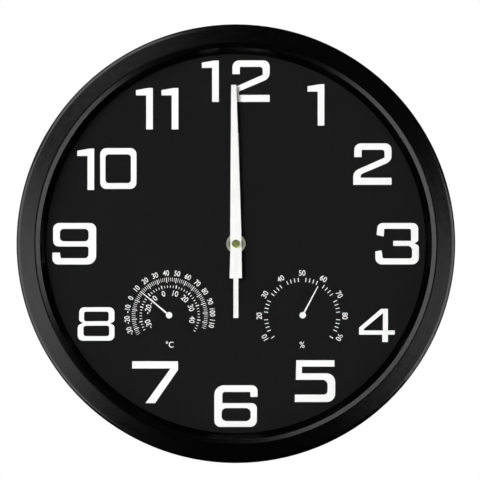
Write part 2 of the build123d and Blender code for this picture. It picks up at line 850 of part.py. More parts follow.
def spiral_outline():
    """A flat spiral strip made of half circles, whose centres alternate left and right."""
    lines = []
    ends = []
    for side in (-1, 1):
        edge = []
        for number in range(coil_half_turns):
            radius = coil_inner_radius + number * coil_pitch / 2 + side * coil_strip / 2
            up = 1 if number % 2 == 0 else -1
            centre = -up * coil_pitch / 4
            start = (centre + up * radius, 0)
            end = (centre - up * radius, 0)
            edge.append(ThreePointArc(start, (centre, up * radius), end))
        lines += edge
        ends.append((edge[0] @ 0, edge[-1] @ 1))
    lines.append(Line(ends[0][0], ends[1][0]))
    lines.append(Line(ends[0][1], ends[1][1]))
    return make_face(lines)


def make_coil(place):
    """The bimetal spiral that turns the spindle."""
    low = plate_front - cup_depth / 2 - coil_width / 2
    return at(place) * plate(spiral_outline(), low, low + coil_width)


def make_spindle(place):
    low = plate_front - cup_depth
    spindle = disc(arbor_radius, low, pointer_low)
    middle = plate_front - cup_depth / 2
    spindle += disc(collet_radius, middle - coil_width / 2, middle + coil_width / 2)
    return at(place) * spindle


def make_pointer(place, rest_angle):
    """A thin needle with a round hub."""
    needle = polygon([
        (-pointer_tip_width / 2, pointer_reach),
        (pointer_tip_width / 2, pointer_reach),
        (pointer_hub_width / 2, 0),
        (-pointer_hub_width / 2, 0),
    ])
    outline = needle + Circle(pointer_hub_radius)
    return at(place) * Rot(0, rest_angle, 0) * plate(outline, pointer_low, pointer_low + pointer_thickness)


nodes = {
    "bezel": make_bezel(),
    "lens": make_lens(),
    "dial_ring": make_dial_ring(),
    "dial_sheet": make_dial_sheet(),
    "back_plate": make_back_plate(),
    "case_screws": make_case_screws(),
    "movement_front_case": make_movement_front_case(),
    "movement_rear_case": make_movement_rear_case(),
    "train_plate": make_train_plate(),
    "threaded_bush": make_threaded_bush(),
    "rubber_washer": make_rubber_washer(),
    "dial_washer": make_dial_washer(),
    "dial_nut": make_dial_nut(),
    "rotor": make_rotor(),
    "step_wheel": make_step_wheel(),
    "second_wheel": make_second_wheel(),
    "third_wheel": make_third_wheel(),
    "centre_wheel": make_centre_wheel(),
    "cannon_pinion": make_cannon_pinion(),
    "minute_wheel": make_minute_wheel(),
    "hour_wheel": make_hour_wheel(),
    "setting_knob": make_setting_knob(),
    "stator": make_stator(),
    "coil_core": make_coil_core(),
    "coil_bobbin": make_coil_bobbin(),
    "coil_winding": make_coil_winding(),
    "circuit_board": make_circuit_board(),
    "quartz_crystal": make_quartz_crystal(),
    "battery": make_battery(),
    "positive_contact": make_positive_contact(),
    "negative_contact": make_negative_contact(),
    "hour_hand": make_hour_hand(),
    "minute_hand": make_minute_hand(),
    "second_hand": make_second_hand(),
    "hand_cap": make_hand_cap(),
    "thermometer_cup": make_cup(thermometer_place),
    "thermometer_coil": make_coil(thermometer_place),
    "thermometer_spindle": make_spindle(thermometer_place),
    "thermometer_pointer": make_pointer(thermometer_place, thermometer_rest_angle),
    "hygrometer_cup": make_cup(hygrometer_place),
    "hygrometer_coil": make_coil(hygrometer_place),
    "hygrometer_spindle": make_spindle(hygrometer_place),
    "hygrometer_pointer": make_pointer(hygrometer_place, hygrometer_rest_angle),
}

os.makedirs("parts", exist_ok=True)
for name, solid in nodes.items():
    export_step(solid, f"parts/{name}.step")
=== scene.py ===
import bmesh
import bpy
import json
from math import atan, cos, pi, radians, sin, tan
from mathutils import Matrix, Vector


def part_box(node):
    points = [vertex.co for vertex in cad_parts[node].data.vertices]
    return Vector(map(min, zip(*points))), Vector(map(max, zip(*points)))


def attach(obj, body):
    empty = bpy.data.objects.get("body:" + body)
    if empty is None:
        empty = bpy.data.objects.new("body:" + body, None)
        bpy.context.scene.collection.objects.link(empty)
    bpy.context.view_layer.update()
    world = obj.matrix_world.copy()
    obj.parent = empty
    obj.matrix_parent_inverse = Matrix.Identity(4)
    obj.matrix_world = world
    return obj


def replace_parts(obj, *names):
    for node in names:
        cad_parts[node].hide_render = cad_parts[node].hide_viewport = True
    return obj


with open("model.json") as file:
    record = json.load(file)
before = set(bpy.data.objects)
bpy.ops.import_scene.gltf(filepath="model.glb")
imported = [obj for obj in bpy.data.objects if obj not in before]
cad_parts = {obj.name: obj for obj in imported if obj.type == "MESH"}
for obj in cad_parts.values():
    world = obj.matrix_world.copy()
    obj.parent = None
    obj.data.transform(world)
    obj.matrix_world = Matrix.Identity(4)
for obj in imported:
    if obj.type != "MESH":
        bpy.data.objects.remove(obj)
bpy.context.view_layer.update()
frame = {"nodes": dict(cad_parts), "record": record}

# A round wall clock with a dial thermometer and a dial hygrometer.
# X points right and Z up as one faces the dial, and Y points into the wall. Lengths are metres.
millimetre = 0.001

# Sizes taken from the frame
bezel_low, bezel_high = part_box("bezel")
screws_low, screws_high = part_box("case_screws")
battery_low, battery_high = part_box("battery")
knob_low, knob_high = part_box("setting_knob")
case_radius = bezel_high.x
dial_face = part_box("dial_sheet")[0].y
housing_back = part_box("movement_rear_case")[1].y
hubs = {}
for instrument in ("thermometer", "hygrometer"):
    spindle_low, spindle_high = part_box(instrument + "_spindle")
    hubs[instrument] = (spindle_low + spindle_high) / 2

# The photograph: where the case stands in it, in pixels from its upper left corner
photo_pixels = 480
case_centre_pixel = (235.9, 243.7)
case_width_pixels = 439.1
camera_distance = 5.0
rim_edge_share = 0.9
rim_plane = bezel_low.y * rim_edge_share
rim_pixel = 2 * case_radius / case_width_pixels
dial_pixel = rim_pixel * (camera_distance + dial_face) / (camera_distance + rim_plane)
camera_x = (photo_pixels / 2 - case_centre_pixel[0]) * rim_pixel
camera_z = (case_centre_pixel[1] - photo_pixels / 2) * rim_pixel

# Studio
floor_height = -0.30
floor_radius = 2.6
floor_steps = 96
floor_grey = 0.85
floor_roughness = 0.9
floor_white_share = 0.75
floor_glow = 1.07
ambient_level = 0.5
backdrop_start_share = 0.75
backdrop_full_share = 0.95
gloss_distance = 1.6
gloss_brightness = 3.0
key_distance = 4.0
key_brightness = 26.0
rear_brightness = 4.0

# Each soft box: degrees clockwise from the top, degrees off the view, then its width and height.
# The three at the sides are only mirrored in the gloss. The key lights the front, and the rear box the
# back, and neither is mirrored.
gloss_boxes = {
    "right_box": (107, 68, 1.78, 1.62),
    "left_box": (257, 66.5, 2.1, 1.75),
    "upper_left_box": (321, 69, 1.2, 1.5),
}
key_box = (300, 28, 1.4, 1.4)
rear_box = (40, 140, 3.0, 3.0)

# A pan-head screw with a cross recess. The profile of its head is in shares of radius and height
screw_count = 8
screw_first_angle = 22.5
screw_slew = 31
screw_head_radius = 3.0 * millimetre
screw_head_height = 1.8 * millimetre
screw_head_profile = ((1, 0), (1, 0.45), (0.94, 0.74), (0.78, 0.93), (0.55, 1), (0, 1))
screw_shank_radius = 1.2 * millimetre
recess_reach = 1.6 * millimetre
recess_half_width = 0.42 * millimetre
recess_depth = 1.1 * millimetre
recess_floor_share = 0.45

# A round cell, and the marks moulded on the movement's housing
nub_radius = 2.75 * millimetre
nub_length = 1.2 * millimetre
crimp_width = 1.5 * millimetre
crimp_depth = 0.35 * millimetre
edge_round = 0.4 * millimetre
mark_radius = 0.45 * millimetre
mark_reach = 1.5 * millimetre
arrow_gap = 2.4 * millimetre
arrow_sweep = (-70, 60)
arrow_step = 10
arrow_barb_angle = 35
sign_place_share = 0.8
turned_steps = 64
stroke_steps = 3
weld_distance = 0.001 * millimetre

# Finishes. A noise's middle part, from low to high, spreads over the whole range of a colour or gloss
noise_low = 0.3
noise_high = 0.7
colour_scale = 60
gloss_scale = 240
grain_detail = 2
grain_depth = 0.05 * millimetre
metal_mark_scale = 900
metal_mark_strength = 0.15
metal_mark_depth = 0.02 * millimetre
wire_scale = 1600
wire_strength = 0.6
lens_index = 1.3

# Printing on the dial
ink_thickness = 0.06 * millimetre
corner_steps = 6
corner_share = 0.49
stroke_inset = 0.32

# The numerals' digits, each as loops of corners (x, y, corner radius) on a grid of the photograph's
# pixels, with y downwards: first the outline, then the holes
digit_outlines = {
    "0": [
        [(2.9, 3.8, 6.5), (39.8, 3.8, 6.5), (39.8, 45.2, 6.5), (2.9, 45.2, 6.5)],
        [(8.7, 10.7, 3), (33.6, 10.7, 3), (33.6, 38.8, 3), (8.7, 38.8, 3)],
    ],
    "1": [
        [(13.4, 45.9, 0), (13.4, 11.9, 0), (3.2, 11.9, 0), (3.2, 6.1, 0), (15.8, 3.9, 1), (20.7, 3.9, 0),
         (20.7, 45.9, 0)],
    ],
    "2": [
        [(3.9, 17.4, 0), (3.9, 3.0, 7.5), (41.8, 3.0, 6.5), (41.8, 21.5, 8.5), (11.0, 34.5, 3),
         (11.0, 37.5, 0), (41.8, 37.5, 0), (41.8, 45.1, 0), (2.9, 45.1, 0), (2.9, 31.3, 8.5),
         (34.2, 17.5, 0), (34.2, 10.1, 2.5), (11.9, 10.1, 0.5), (11.9, 17.4, 0)],
    ],
    "3": [
        [(4.1, 16.1, 0), (5.6, 3.7, 5.5), (46.5, 3.7, 6), (46.5, 22.3, 2.5), (42.9, 24.2, 0),
         (47.1, 26.5, 3), (47.1, 45.7, 7), (3.1, 45.7, 8), (3.0, 32.2, 0), (9.7, 31.0, 0), (11.0, 39.1, 1.5),
         (39.7, 39.1, 2), (39.7, 27.2, 4), (20.9, 27.2, 0), (20.9, 21.5, 0), (38.7, 21.5, 0),
         (38.7, 10.1, 1.5), (12.5, 10.1, 0.5), (11.9, 17.9, 0)],
    ],
    "4": [
        [(25.9, 4.5, 0), (33.2, 4.5, 0), (33.2, 26.1, 0), (40.0, 26.1, 0), (40.0, 31.0, 0), (33.2, 31.0, 0),
         (33.2, 38.3, 0), (26.9, 38.3, 0), (26.9, 31.0, 0), (3.8, 31.0, 0), (3.8, 23.5, 0)],
        [(27.6, 9.7, 0), (27.6, 26.1, 0), (9.0, 26.1, 0), (9.0, 25.2, 0)],
    ],
    "5": [
        [(5.0, 2.9, 0), (43.8, 2.9, 0), (43.8, 9.9, 0), (11.2, 9.9, 0), (11.2, 16.0, 0), (44.6, 16.0, 9),
         (44.4, 45.3, 8.5), (3.5, 45.3, 0), (3.5, 37.3, 0), (36.3, 37.3, 3.5), (36.3, 23.1, 5),
         (4.5, 23.1, 0)],
    ],
    "6": [
        [(3.0, 2.9, 10), (46.8, 2.9, 7.5), (46.8, 15.2, 0), (39.1, 15.2, 0), (39.0, 10.2, 1),
         (11.6, 10.2, 2.5), (11.6, 20.8, 0), (46.2, 20.8, 5.5), (46.2, 45.2, 7), (3.0, 45.2, 6.5)],
        [(10.9, 26.4, 4.5), (39.3, 26.4, 4.5), (39.3, 38.8, 4.5), (10.9, 38.8, 4.5)],
    ],
    "7": [
        [(2.9, 2.9, 0), (49.3, 2.9, 0), (49.3, 11.9, 0), (26.3, 45.4, 0), (15.9, 45.4, 0), (40.9, 10.8, 0),
         (2.9, 10.8, 0)],
    ],
    "8": [
        [(5.9, 3.9, 5.5), (41.8, 3.9, 5.5), (41.8, 18.6, 3.5), (38.0, 20.4, 0), (41.8, 22.6, 4),
         (41.8, 38.0, 5.5), (4.4, 38.0, 5.5), (4.4, 22.2, 4.5), (9.2, 20.0, 0), (5.9, 18.1, 3.5)],
        [(11.3, 8.9, 2), (35.4, 8.9, 2), (35.4, 17.9, 2), (11.3, 17.9, 2)],
        [(10.8, 23.0, 2), (35.9, 23.0, 2), (35.9, 32.8, 2), (10.8, 32.8, 2)],
    ],
    "9": [
        [(2.8, 3.7, 6.5), (46.5, 3.7, 6.5), (46.5, 45.8, 9), (2.1, 45.8, 7), (2.1, 33.3, 0), (10.2, 33.3, 0),
         (11.0, 38.9, 1.5), (38.2, 38.9, 3.5), (38.2, 27.8, 2), (2.8, 27.8, 6)],
        [(10.2, 10.2, 3.5), (38.3, 10.2, 3.5), (38.3, 22.0, 3.5), (10.2, 22.0, 3.5)],
    ],
}

# Where the grid of each digit has its upper left corner, in the photograph's pixels
numeral_pixels = {
    "12": [("1", 198.4, 56.3), ("2", 228.2, 57.1)],
    "1": [("1", 304.0, 80.0)],
    "2": [("2", 350.0, 140.0)],
    "3": [("3", 372.0, 219.0)],
    "4": [("4", 355.0, 304.0)],
    "5": [("5", 291.0, 357.0)],
    "6": [("6", 211.0, 382.0)],
    "7": [("7", 129.0, 358.0)],
    "8": [("8", 73.0, 303.0)],
    "9": [("9", 50.0, 219.0)],
    "10": [("1", 73.8, 144.4), ("0", 97.0, 144.0)],
    "11": [("1", 132.5, 83.8), ("1", 158.0, 83.8)],
}

# Scales: reaches and widths in pixels, angles in degrees clockwise from the top, and how far the middle
# of a scale lies to the right of its hub and above it, in pixels
tick_step = 2
label_step = 10
scale_shift = {"thermometer": (0.65, -0.5), "hygrometer": (-0.6, -0.75)}
fahrenheit_tick_reach = (34.3, 38.1)
fahrenheit_long_reach = (33.0, 38.1)
fahrenheit_tick_width = 0.42
fahrenheit_long_width = 0.75
fahrenheit_label_reach = 42.8
fahrenheit_step_angle = 1.512
fahrenheit_zero_angle = -65.55
fahrenheit_range = (-36, 116)
celsius_tick_reach = (27.9, 30.2)
celsius_long_reach = (27.7, 31.0)
celsius_tick_width = 0.62
celsius_long_width = 1.0
celsius_label_reach = 22.75
celsius_zero_angle = -15.9
celsius_step_angle = 2.862
celsius_range = (-36, 48)
celsius_label_angles = {-30: -111.6, -20: -73.5, -10: -47.4, 0: -16, 10: 14.5, 20: 41.7, 30: 69.8, 40: 99.9}
humidity_tick_reach = (34.2, 38.2)
humidity_tick_width = 0.8
humidity_label_reach = 42.95
humidity_top_value = 50
humidity_step_angle = 3.0
humidity_range = (8, 92)
label_bold = 0.012
caption_drop = 28.8

# Figures: height in pixels, and width as a share of the plain font's
fahrenheit_figures = (5.35, 0.84)
celsius_figures = (5.6, 0.91)
humidity_figures = (5.6, 0.91)
caption_figures = (6.3, 0.91)


def new_object(name, data):
    item = bpy.data.objects.new(name, data)
    bpy.context.scene.collection.objects.link(item)
    return item


def finished_mesh(work, name):
    """The mesh that was worked on, with the work put away."""
    mesh = bpy.data.meshes.new(name)
    work.to_mesh(mesh)
    work.free()
    return mesh


def evaluated_mesh(item):
    """The mesh that an object's curve or modifier makes, with the object removed."""
    bpy.context.view_layer.update()
    depsgraph = bpy.context.evaluated_depsgraph_get()
    mesh = bpy.data.meshes.new_from_object(item.evaluated_get(depsgraph))
    bpy.data.objects.remove(item)
    return mesh


# Materials


def new_material(name):
    """A material with its tree of nodes and its shader."""
    material = bpy.data.materials.new(name)
    material.use_nodes = True
    return material, material.node_tree, material.node_tree.nodes["Principled BSDF"]


def place_of(tree):
    """Coordinates that move with the piece, in metres."""
    return tree.nodes.new("ShaderNodeTexCoord").outputs["Object"]


def noise(tree, vector, scale, detail=3.0):
    texture = tree.nodes.new("ShaderNodeTexNoise")
    texture.inputs["Scale"].default_value = scale
    texture.inputs["Detail"].default_value = detail
    tree.links.new(vector, texture.inputs["Vector"])
    return texture.outputs[0]


def ranged(tree, value, low, high):
    """Spreads the middle of a noise over a range."""
    spread = tree.nodes.new("ShaderNodeMapRange")
    spread.inputs["From Min"].default_value = noise_low
    spread.inputs["From Max"].default_value = noise_high
    spread.inputs["To Min"].default_value = low
    spread.inputs["To Max"].default_value = high
    tree.links.new(value, spread.inputs["Value"])
    return spread.outputs["Result"]


def colours(tree, value, dark, light):
    ramp = tree.nodes.new("ShaderNodeValToRGB")
    ramp.color_ramp.elements[0].position = noise_low
    ramp.color_ramp.elements[0].color = (*dark, 1)
    ramp.color_ramp.elements[1].position = noise_high
    ramp.color_ramp.elements[1].color = (*light, 1)
    tree.links.new(value, ramp.inputs["Fac"])
    return ramp.outputs["Color"]


def bumped(tree, shader, height, strength, depth):
    bump = tree.nodes.new("ShaderNodeBump")
    bump.inputs["Strength"].default_value = strength
    bump.inputs["Distance"].default_value = depth
    tree.links.new(height, bump.inputs["Height"])
    tree.links.new(bump.outputs["Normal"], shader.inputs["Normal"])


def moulded_plastic(name, dark, light, rough_low, rough_high, grain_scale, grain_strength, specular=0.5):
    """Plastic with a fine moulded grain, slightly uneven in colour and gloss."""
    material, tree, shader = new_material(name)
    vector = place_of(tree)
    cloud = noise(tree, vector, colour_scale)
    sheen = noise(tree, vector, gloss_scale)
    tree.links.new(colours(tree, cloud, dark, light), shader.inputs["Base Color"])
    tree.links.new(ranged(tree, sheen, rough_low, rough_high), shader.inputs["Roughness"])
    shader.inputs["Specular IOR Level"].default_value = specular
    bumped(tree, shader, noise(tree, vector, grain_scale, grain_detail), grain_strength, grain_depth)
    return material


def worked_metal(name, dark, light, rough_low, rough_high):
    """Metal with fine marks, which show in its colour, gloss and surface."""
    material, tree, shader = new_material(name)
    marks = noise(tree, place_of(tree), metal_mark_scale)
    tree.links.new(colours(tree, marks, dark, light), shader.inputs["Base Color"])
    tree.links.new(ranged(tree, marks, rough_low, rough_high), shader.inputs["Roughness"])
    shader.inputs["Metallic"].default_value = 1.0
    bumped(tree, shader, marks, metal_mark_strength, metal_mark_depth)
    return material


def lens_glass():
    """Clear glass, coated against reflections, that lets the lamps' light through to the dial."""
    material, tree, shader = new_material("lens_glass")
    shader.inputs["Base Color"].default_value = (1, 1, 1, 1)
    shader.inputs["Roughness"].default_value = 0.0
    shader.inputs["IOR"].default_value = lens_index
    shader.inputs["Transmission Weight"].default_value = 1.0
    clear = tree.nodes.new("ShaderNodeBsdfTransparent")
    path = tree.nodes.new("ShaderNodeLightPath")
    mix = tree.nodes.new("ShaderNodeMixShader")
    tree.links.new(path.outputs["Is Shadow Ray"], mix.inputs["Fac"])
    tree.links.new(shader.outputs["BSDF"], mix.inputs[1])
    tree.links.new(clear.outputs["BSDF"], mix.inputs[2])
    tree.links.new(mix.outputs["Shader"], tree.nodes["Material Output"].inputs["Surface"])
    return material


def wound_copper():
    """Enamelled wire, laid turn by turn along X."""
    material, tree, shader = new_material("wound_copper")
    wave = tree.nodes.new("ShaderNodeTexWave")
    wave.inputs["Scale"].default_value = wire_scale
    tree.links.new(place_of(tree), wave.inputs["Vector"])
    # The colour is darker in the grooves between turns and lighter on their crowns: painted shade and
    # painted highlight, on top of the bump.
    tree.links.new(colours(tree, wave.outputs["Fac"], (0.32, 0.1, 0.04), (0.75, 0.34, 0.16)),
                   shader.inputs["Base Color"])
    shader.inputs["Metallic"].default_value = 1.0
    shader.inputs["Roughness"].default_value = 0.3
    bumped(tree, shader, wave.outputs["Fac"], wire_strength, grain_depth)
    return material


def make_finishes():
    """One material for each slot of the record."""
    return {
        "black_gloss_plastic": moulded_plastic("bezel_plastic", (0.0004, 0.0004, 0.0004),
                                               (0.0007, 0.0007, 0.0007), 0.2, 0.26, 2600, 0.12, 0.39),
        "clear_glass": lens_glass(),
        "dial_print": moulded_plastic("dial_ink", (0.0073, 0.0073, 0.0073), (0.0081, 0.0081, 0.0081),
                                      0.85, 0.95, 4200, 0.1, 0.1),
        "black_ring_plastic": moulded_plastic("ring_plastic", (0.0004, 0.0004, 0.0004),
                                              (0.0007, 0.0007, 0.0007), 0.4, 0.5, 2600, 0.1, 0.03),
        "back_plastic": moulded_plastic("back_plastic", (0.02, 0.02, 0.021), (0.028, 0.028, 0.029),
                                        0.42, 0.55, 1500, 0.35),
        "zinc_steel": worked_metal("zinc_steel", (0.5, 0.5, 0.48), (0.68, 0.68, 0.66), 0.35, 0.5),
        "movement_plastic": moulded_plastic("movement_plastic", (0.03, 0.03, 0.031),
                                            (0.042, 0.042, 0.043), 0.35, 0.45, 2200, 0.25),
        "brass": worked_metal("brass", (0.42, 0.46, 0.13), (0.6, 0.65, 0.2), 0.3, 0.45),
        "washer_brass": worked_metal("washer_brass", (0.84, 0.86, 0.66), (0.96, 0.98, 0.78), 0.3, 0.45),
        "rubber": moulded_plastic("rubber", (0.012, 0.012, 0.012), (0.02, 0.02, 0.02),
                                  0.75, 0.85, 1200, 0.3),
        "natural_plastic": moulded_plastic("natural_plastic", (0.74, 0.74, 0.7), (0.82, 0.82, 0.78),
                                           0.35, 0.45, 2000, 0.1),
        "white_plastic": moulded_plastic("white_plastic", (0.8, 0.8, 0.78), (0.86, 0.86, 0.84),
                                         0.35, 0.45, 2000, 0.1),
        "motor_iron": worked_metal("motor_iron", (0.36, 0.36, 0.37), (0.5, 0.5, 0.51), 0.35, 0.5),
        "copper_wire": wound_copper(),
        "board_green": moulded_plastic("board_green", (0.02, 0.12, 0.05), (0.04, 0.2, 0.09),
                                       0.3, 0.4, 1500, 0.2),
        "crystal_can": worked_metal("crystal_can", (0.7, 0.7, 0.72), (0.8, 0.8, 0.82), 0.15, 0.25),
        "cell_label": moulded_plastic("cell_sleeve", (0.03, 0.045, 0.075), (0.038, 0.055, 0.09),
                                      0.25, 0.32, 900, 0.05),
        "contact_steel": worked_metal("contact_steel", (0.62, 0.61, 0.58), (0.76, 0.75, 0.72), 0.2, 0.3),
        "hand_white": moulded_plastic("hand_enamel", (0.8, 0.8, 0.79), (0.83, 0.83, 0.82),
                                      0.32, 0.4, 1400, 0.06),
        "cup_aluminium": worked_metal("cup_aluminium", (0.62, 0.62, 0.62), (0.76, 0.76, 0.76), 0.42, 0.56),
        "bimetal": worked_metal("bimetal", (0.42, 0.34, 0.2), (0.6, 0.5, 0.32), 0.3, 0.4),
        "steel_arbor": worked_metal("steel_arbor", (0.5, 0.5, 0.5), (0.64, 0.64, 0.64), 0.2, 0.3),
        "pointer_white": moulded_plastic("pointer_enamel", (0.84, 0.84, 0.83), (0.87, 0.87, 0.86),
                                         0.32, 0.4, 1400, 0.06),
    }


def dress_cad_nodes(finishes):
    """Gives each CAD node its slot's material, but the dial's nut a darker brass than its washer's, as
    painted shade for the dark line round its edges.
    """
    # The nut's darker brass is painted shade: it stands in for the shade at the nut's edges beside the
    # washer.
    painted_shade_nut_brass = worked_metal("painted_shade_nut_brass", (0.34, 0.36, 0.2), (0.5, 0.53, 0.3), 0.3, 0.45)
    for subpart in frame["record"]["subparts"]:
        node = frame["nodes"][subpart["node"]]
        material = painted_shade_nut_brass if subpart["node"] == "dial_nut" else finishes[subpart["material_slot"]]
        if not node.material_slots:
            node.data.materials.append(material)
        for slot in node.material_slots:
            slot.material = material


def white_ink():
    return moulded_plastic("white_ink", (0.89, 0.89, 0.885), (0.92, 0.92, 0.915), 0.5, 0.6, 3000, 0.05)


# Printing


def dial_place(pixel_x, pixel_y):
    """The point of the dial's face that the photograph shows at this pixel."""
    x = camera_x + (pixel_x - photo_pixels / 2) * dial_pixel
    z = camera_z + (photo_pixels / 2 - pixel_y) * dial_pixel
    return Vector((x, dial_face, z))


def rounded_loop(corners):
    """Points along a closed outline whose corners, each (x, y, radius), are circular arcs."""
    points = []
    for number, (x, y, radius) in enumerate(corners):
        corner = Vector((x, y))
        before = Vector(corners[number - 1][:2]) - corner
        after = Vector(corners[(number + 1) % len(corners)][:2]) - corner
        if radius == 0:
            points.append(corner)
            continue
        half_turn = (pi - before.angle(after)) / 2
        trim = min(radius * tan(half_turn), corner_share * min(before.length, after.length))
        start = corner + before.normalized() * trim
        end = corner + after.normalized() * trim
        weight = cos(half_turn)
        for step in range(corner_steps + 1):
            share = step / corner_steps
            pull = 2 * weight * share * (1 - share)
            total = (1 - share) ** 2 + pull + share ** 2
            points.append((start * (1 - share) ** 2 + corner * pull + end * share ** 2) / total)
    return points


def curve_mesh(curve):
    """The mesh of a curve or text."""
    return evaluated_mesh(new_object("drawing", curve))


def facing_viewer(place, angle=0.0):
    """Stands a drawing up to face the viewer at a place on the dial, turned clockwise."""
    raised = Vector((0, -ink_thickness / 2, 0))
    turn = Matrix.Rotation(radians(angle), 4, "Y")
    return Matrix.Translation(place + raised) @ turn @ Matrix.Rotation(pi / 2, 4, "X")


def make_piece(name, mesh, material, body):
    """A piece of the object that rides on a body and takes the material given."""
    mesh.materials.clear()
    mesh.materials.append(material)
    piece = new_object(name, mesh)
    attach(piece, body)
    return piece


def print_piece(name, mesh, ink):
    return make_piece(name, mesh, ink, "case")


def joined(meshes):
    """One mesh from several."""
    work = bmesh.new()
    for mesh in meshes:
        work.from_mesh(mesh)
        bpy.data.meshes.remove(mesh)
    return finished_mesh(work, "joined")


def digit_mesh(digit, left_pixel, top_pixel):
    curve = bpy.data.curves.new("digit", "CURVE")
    curve.dimensions = "2D"
    curve.fill_mode = "BOTH"
    curve.extrude = ink_thickness / 2
    curve.offset = -stroke_inset * dial_pixel
    for corners in digit_outlines[digit]:
        loop = rounded_loop(corners)
        spline = curve.splines.new("POLY")
        spline.points.add(len(loop) - 1)
        spline.use_cyclic_u = True
        for point, (x, y) in zip(spline.points, loop):
            point.co = (x * dial_pixel, -y * dial_pixel, 0, 1)
    mesh = curve_mesh(curve)
    mesh.transform(facing_viewer(dial_place(left_pixel, top_pixel)))
    return mesh


def print_numerals(ink):
    for name, digits in numeral_pixels.items():
        meshes = [digit_mesh(*digit) for digit in digits]
        print_piece("numeral_" + name, joined(meshes), ink)


def text_mesh(words, figures, place, angle):
    """Plain upright figures, centred on a place."""
    height, width_share = figures
    curve = bpy.data.curves.new("words", "FONT")
    curve.body = words
    curve.size = 1.0
    curve.offset = label_bold
    mesh = curve_mesh(curve)
    xs = [vertex.co.x for vertex in mesh.vertices]
    ys = [vertex.co.y for vertex in mesh.vertices]
    scale = height * dial_pixel / (max(ys) - min(ys))
    middle = Vector(((min(xs) + max(xs)) / 2, (min(ys) + max(ys)) / 2, 0))
    size = Matrix.Diagonal((scale * width_share, scale, 1, 1))
    mesh.transform(facing_viewer(place, angle) @ size @ Matrix.Translation(-middle))
    thick = bmesh.new()
    thick.from_mesh(mesh)
    faces = bmesh.ops.extrude_face_region(thick, geom=thick.faces[:])["geom"]
    moved = [item for item in faces if isinstance(item, bmesh.types.BMVert)]
    bmesh.ops.translate(thick, verts=moved, vec=(0, -ink_thickness / 2, 0))
    bmesh.ops.recalc_face_normals(thick, faces=thick.faces[:])
    thick.to_mesh(mesh)
    thick.free()
    return mesh


def on_scale(instrument, reach, angle):
    """A place on the dial, so many pixels from the middle of an instrument's scale."""
    hub = hubs[instrument]
    turn = radians(angle)
    right, up = scale_shift[instrument]
    x = hub.x + (right + reach * sin(turn)) * dial_pixel
    return Vector((x, dial_face, hub.z + (up + reach * cos(turn)) * dial_pixel))


def tick_mesh(instrument, ticks):
    """Bars that point at the middle of a scale, each (angle, reaches, width)."""
    work = bmesh.new()
    for angle, (inner, outer), width in ticks:
        size = Matrix.Diagonal((width * dial_pixel, (outer - inner) * dial_pixel, ink_thickness, 1))
        place = on_scale(instrument, (inner + outer) / 2, angle)
        bmesh.ops.create_cube(work, size=1, matrix=facing_viewer(place, angle) @ size)
    return finished_mesh(work, "ticks")


def print_labels(name, instrument, reach, angles, figures, ink):
    meshes = []
    for value, angle in angles.items():
        place = on_scale(instrument, reach, angle)
        meshes.append(text_mesh(str(value), figures, place, angle))
    print_piece(name, joined(meshes), ink)


def print_caption(name, instrument, words, ink):
    place = on_scale(instrument, caption_drop, 180)
    print_piece(name, text_mesh(words, caption_figures, place, 0), ink)


def scale_values(value_range):
    """The values at which a scale may have a tick, from one end to the other."""
    first, last = value_range
    return range(first, last + 1, tick_step)


def print_thermometer_scales(ink):
    angles = {}
    ticks = []
    for value in scale_values(fahrenheit_range):
        angle = fahrenheit_zero_angle + value * fahrenheit_step_angle
        if value % label_step == 0:
            angles[value] = angle
            ticks.append((angle, fahrenheit_long_reach, fahrenheit_long_width))
        else:
            ticks.append((angle, fahrenheit_tick_reach, fahrenheit_tick_width))
    print_piece("fahrenheit_ticks", tick_mesh("thermometer", ticks), ink)
    print_labels("fahrenheit_figures", "thermometer", fahrenheit_label_reach, angles,
                 fahrenheit_figures, ink)
    ticks = []
    for value in scale_values(celsius_range):
        angle = celsius_zero_angle + value * celsius_step_angle
        if value % label_step == 0:
            ticks.append((angle, celsius_long_reach, celsius_long_width))
        else:
            ticks.append((angle, celsius_tick_reach, celsius_tick_width))
    print_piece("celsius_ticks", tick_mesh("thermometer", ticks), ink)
    print_labels("celsius_figures", "thermometer", celsius_label_reach, celsius_label_angles,
                 celsius_figures, ink)
    print_caption("thermometer_unit", "thermometer", "°C", ink)


def print_hygrometer_scale(ink):
    angles = {}
    ticks = []
    for value in scale_values(humidity_range):
        angle = (value - humidity_top_value) * humidity_step_angle
        if value % label_step == 0:
            angles[value] = angle
        else:
            ticks.append((angle, humidity_tick_reach, humidity_tick_width))
    print_piece("humidity_ticks", tick_mesh("hygrometer", ticks), ink)
    print_labels("humidity_figures", "hygrometer", humidity_label_reach, angles, humidity_figures, ink)
    print_caption("hygrometer_unit", "hygrometer", "%", ink)


# Small parts seen from behind


def turned_mesh(outline):
    """A solid turned about Z from an outline of (radius, height) points."""
    work = bmesh.new()
    corners = [work.verts.new((radius, 0, height)) for radius, height in outline]
    edges = [work.edges.new(pair) for pair in zip(corners, corners[1:])]
    bmesh.ops.spin(work, geom=corners + edges, cent=(0, 0, 0), axis=(0, 0, 1), angle=2 * pi,
                   steps=turned_steps)
    bmesh.ops.remove_doubles(work, verts=work.verts[:], dist=weld_distance)
    bmesh.ops.recalc_face_normals(work, faces=work.faces[:])
    return finished_mesh(work, "turned")


def cross_mesh():
    """A cross that tapers downwards, to cut the recess of a screw's head."""
    near = recess_half_width
    far = recess_reach
    corners = [(near, near), (near, far), (-near, far), (-near, near), (-far, near), (-far, -near),
               (-near, -near), (-near, -far), (near, -far), (near, -near), (far, -near), (far, near)]
    work = bmesh.new()
    floor = screw_head_height - recess_depth
    share = recess_floor_share
    low = [work.verts.new((x * share, y * share, floor)) for x, y in corners]
    high = [work.verts.new((x, y, screw_head_height + recess_depth)) for x, y in corners]
    work.faces.new(low)
    work.faces.new(high)
    for number in range(len(corners)):
        work.faces.new((low[number - 1], low[number], high[number], high[number - 1]))
    bmesh.ops.recalc_face_normals(work, faces=work.faces[:])
    return finished_mesh(work, "cross")


